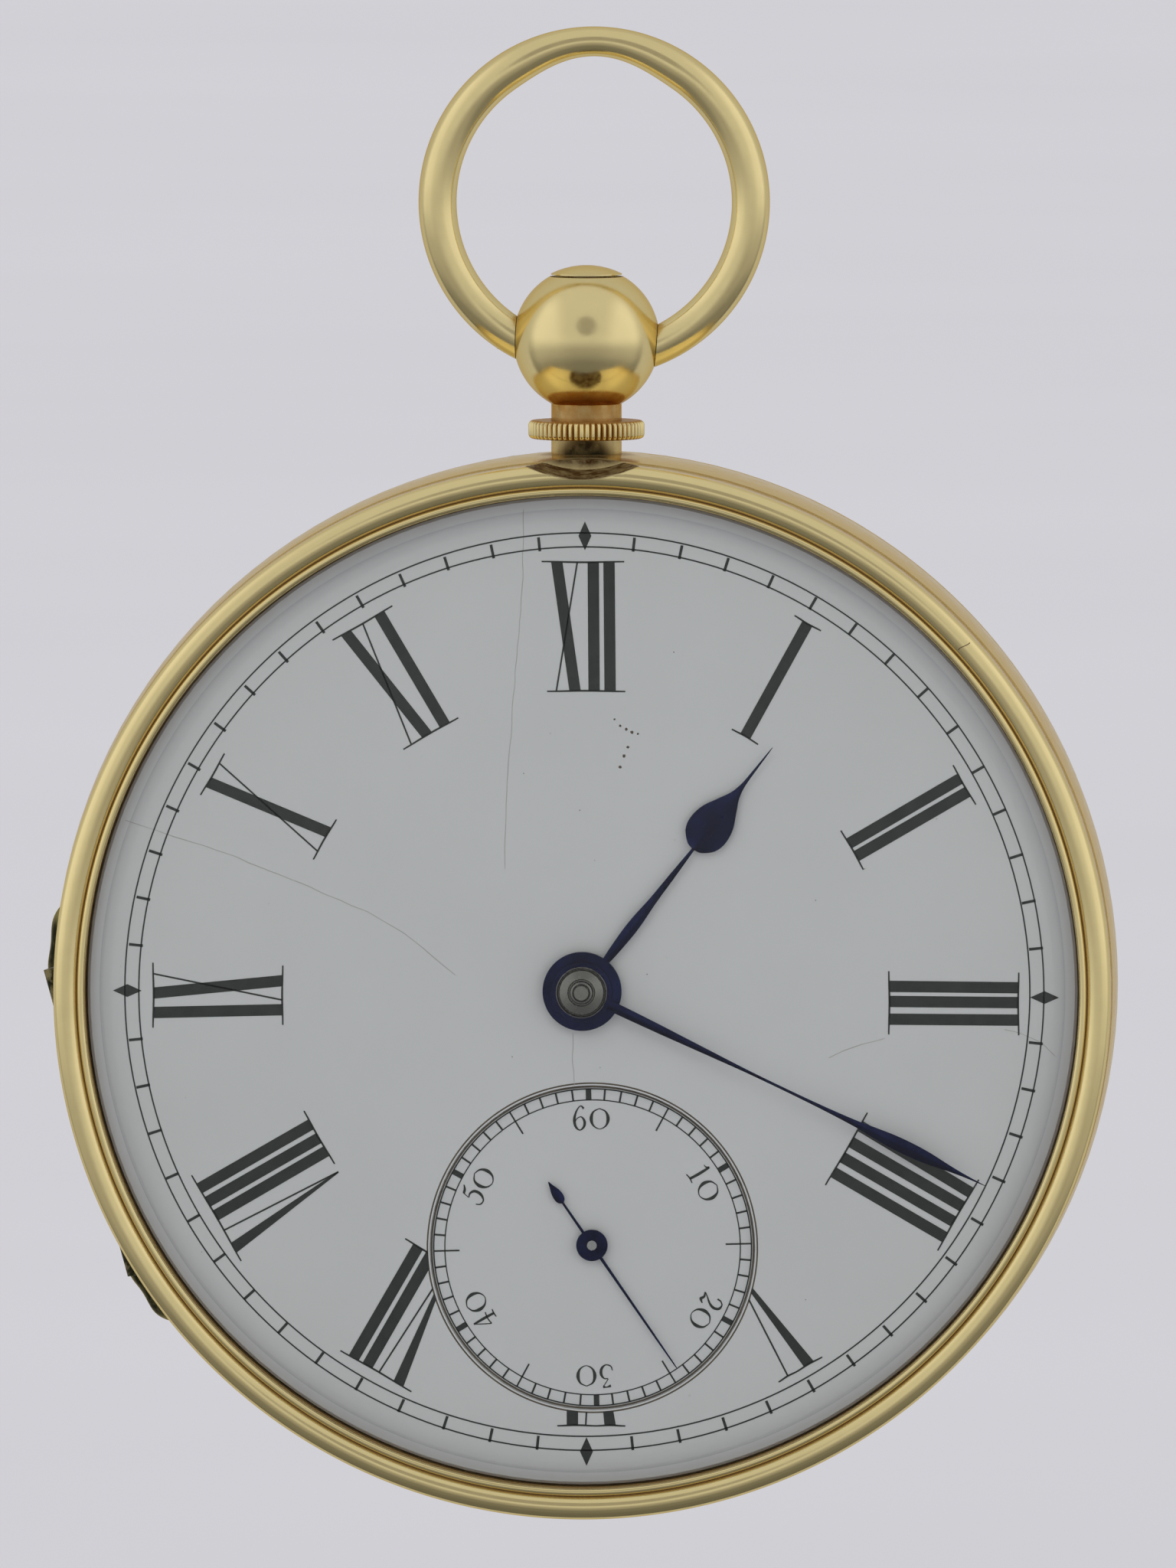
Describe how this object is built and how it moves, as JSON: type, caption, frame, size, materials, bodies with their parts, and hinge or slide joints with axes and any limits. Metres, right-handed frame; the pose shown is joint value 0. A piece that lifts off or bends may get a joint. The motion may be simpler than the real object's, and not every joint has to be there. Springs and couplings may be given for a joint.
{
  "type": "open face pocket watch",
  "caption": "Gold open face pocket watch with Roman dial, sunk seconds dial, ball pendant, bow, hinged bezel and back, and a key-wound lever movement.",
  "frame": {"origin": "centre of the dial's front face, on the hand arbor's axis", "axes": "+Z to 12 o'clock and the bow, +X to 3 o'clock, the dial faces -Y and the back cover faces +Y"},
  "size_m": [0.0484, 0.0165, 0.0672],
  "materials": {
    "gold_case": "polished gold, worn",
    "gold_cover": "polished gold, worn",
    "crystal": "polished",
    "enamel": "glossy white enamel",
    "blued_steel": "blued and polished",
    "polished_steel": "polished",
    "grey_steel": "satin",
    "gilt_plate": "frosted gilding",
    "gilt_wheel": "gilt, polished",
    "spring_steel": "satin",
    "ruby": "polished"
  },
  "bodies": {
    "case": {"case_band": "gold_case", "bezel_hinge_pin": "grey_steel", "back_hinge_pin": "grey_steel", "pendant": "gold_case", "knurled_collar": "gold_case", "dust_cover": "gold_cover", "catch_screw": "blued_steel", "pillar_plate": "gilt_plate", "pillars": "gilt_plate", "plate_screws": "blued_steel", "top_plate": "gilt_plate", "case_screws": "blued_steel", "lower_jewels": "ruby", "upper_jewels": "ruby", "pallet_cock": "gilt_plate", "cock_screws": "blued_steel", "balance_cock": "gilt_plate", "endstone": "ruby", "hairspring_stud": "grey_steel", "hairspring": "blued_steel", "click_screw": "blued_steel", "click_spring": "spring_steel", "dial": "enamel", "seconds_dial": "enamel"},
    "bezel": {"bezel": "gold_case", "crystal": "crystal"},
    "back_cover": {"back_cover": "gold_cover"},
    "bow": {"bow": "gold_case"},
    "push_button": {"push_button": "gold_case"},
    "catch_spring": {"catch_spring": "spring_steel"},
    "fourth_wheel": {"fourth_wheel": "gilt_wheel", "fourth_pinion": "grey_steel", "seconds_hand": "blued_steel"},
    "third_wheel": {"third_wheel": "gilt_wheel", "third_pinion": "grey_steel"},
    "centre_wheel": {"centre_wheel": "gilt_wheel", "centre_pinion": "grey_steel"},
    "barrel": {"barrel_drum": "gilt_wheel", "barrel_cover": "gilt_wheel", "mainspring": "spring_steel"},
    "escape_wheel": {"escape_wheel": "gilt_wheel", "escape_pinion": "grey_steel"},
    "barrel_arbor": {"barrel_arbor": "grey_steel", "ratchet_wheel": "polished_steel"},
    "click": {"click": "polished_steel"},
    "minute_hand": {"set_arbor": "polished_steel", "cannon_pinion": "grey_steel", "minute_hand": "blued_steel", "hand_boss": "polished_steel"},
    "minute_wheel": {"minute_wheel": "gilt_wheel"},
    "hour_hand": {"hour_wheel": "gilt_wheel", "hour_hand": "blued_steel"},
    "lever": {"pallet_lever": "grey_steel", "pallet_stones": "ruby"},
    "balance": {"balance_staff": "grey_steel", "balance_wheel": "gilt_wheel", "balance_screws": "gilt_wheel", "roller": "grey_steel"},
    "regulator": {"regulator": "polished_steel"}
  },
  "joints": [
    {"name": "bow_swing", "type": "hinge", "parent": "case", "child": "bow", "pos_m": [0, 0.00525, 0.0291], "axis": [1, 0, 0], "range_deg": [-100, 100]},
    {"name": "button_push", "type": "slide", "parent": "case", "child": "push_button", "axis": [0, 0, -1], "range_m": [0, 0.0006]},
    {"name": "catch_release", "type": "hinge", "parent": "case", "child": "catch_spring", "pos_m": [0.01394, 0.00525, 0.01721], "axis": [0, -1, 0], "range_deg": [-0.5, 3]},
    {"name": "bezel_open", "type": "hinge", "parent": "case", "child": "bezel", "pos_m": [-0.02193, 0.0015, -0.006], "axis": [0.2639, 0, -0.9646], "range_deg": [0, 90]},
    {"name": "back_open", "type": "hinge", "parent": "case", "child": "back_cover", "pos_m": [0, 0.009, -0.0226], "axis": [-1, 0, 0], "range_deg": [0, 90]},
    {"name": "seconds_run", "type": "hinge", "parent": "case", "child": "fourth_wheel", "pos_m": [0.00043, 0, -0.01149], "axis": [0, 1, 0], "continuous": true},
    {"name": "third_run", "type": "hinge", "parent": "case", "child": "third_wheel", "pos_m": [0.0034, 0, -0.00609], "axis": [0, 1, 0], "continuous": true},
    {"name": "centre_run", "type": "hinge", "parent": "case", "child": "centre_wheel", "pos_m": [0, 0, 0], "axis": [0, 1, 0], "continuous": true},
    {"name": "barrel_run", "type": "hinge", "parent": "case", "child": "barrel", "pos_m": [0.0035, 0, 0.0078], "axis": [0, 1, 0], "continuous": true},
    {"name": "escape_run", "type": "hinge", "parent": "case", "child": "escape_wheel", "pos_m": [-0.00368, 0, -0.00854], "axis": [0, 1, 0], "continuous": true},
    {"name": "winding", "type": "hinge", "parent": "case", "child": "barrel_arbor", "pos_m": [0.0035, 0, 0.0078], "axis": [0, 1, 0], "continuous": true},
    {"name": "click_lift", "type": "hinge", "parent": "case", "child": "click", "pos_m": [-0.00371, 0, 0.00692], "axis": [0, -1, 0], "range_deg": [0, 10]},
    {"name": "hand_setting", "type": "hinge", "parent": "case", "child": "minute_hand", "pos_m": [0, 0, 0], "axis": [0, 1, 0], "continuous": true},
    {"name": "minute_wheel_run", "type": "hinge", "parent": "case", "child": "minute_wheel", "pos_m": [-0.00238, 0, 0.00238], "axis": [0, 1, 0], "continuous": true},
    {"name": "hour_run", "type": "hinge", "parent": "case", "child": "hour_hand", "pos_m": [0, 0, 0], "axis": [0, 1, 0], "continuous": true},
    {"name": "lever_rock", "type": "hinge", "parent": "case", "child": "lever", "pos_m": [-0.00668, 0, -0.00638], "axis": [0, 1, 0], "range_deg": [-5, 5]},
    {"name": "balance_swing", "type": "hinge", "parent": "case", "child": "balance", "pos_m": [-0.01123, 0, -0.00311], "axis": [0, 1, 0], "range_deg": [-270, 270]},
    {"name": "regulator_turn", "type": "hinge", "parent": "case", "child": "regulator", "pos_m": [-0.01123, 0, -0.00311], "axis": [0, 1, 0], "range_deg": [-22, 22]}
  ],
  "couplings": [
    {"joint": "catch_release", "follows": "button_push", "rad_per_m": 71.739},
    {"joint": "third_run", "follows": "seconds_run", "ratio": -0.13333},
    {"joint": "centre_run", "follows": "seconds_run", "ratio": 0.016667},
    {"joint": "barrel_run", "follows": "seconds_run", "ratio": -0.0020833},
    {"joint": "escape_run", "follows": "seconds_run", "ratio": -10},
    {"joint": "minute_wheel_run", "follows": "hand_setting", "ratio": -0.33333},
    {"joint": "hour_run", "follows": "hand_setting", "ratio": 0.083333}
  ]
}
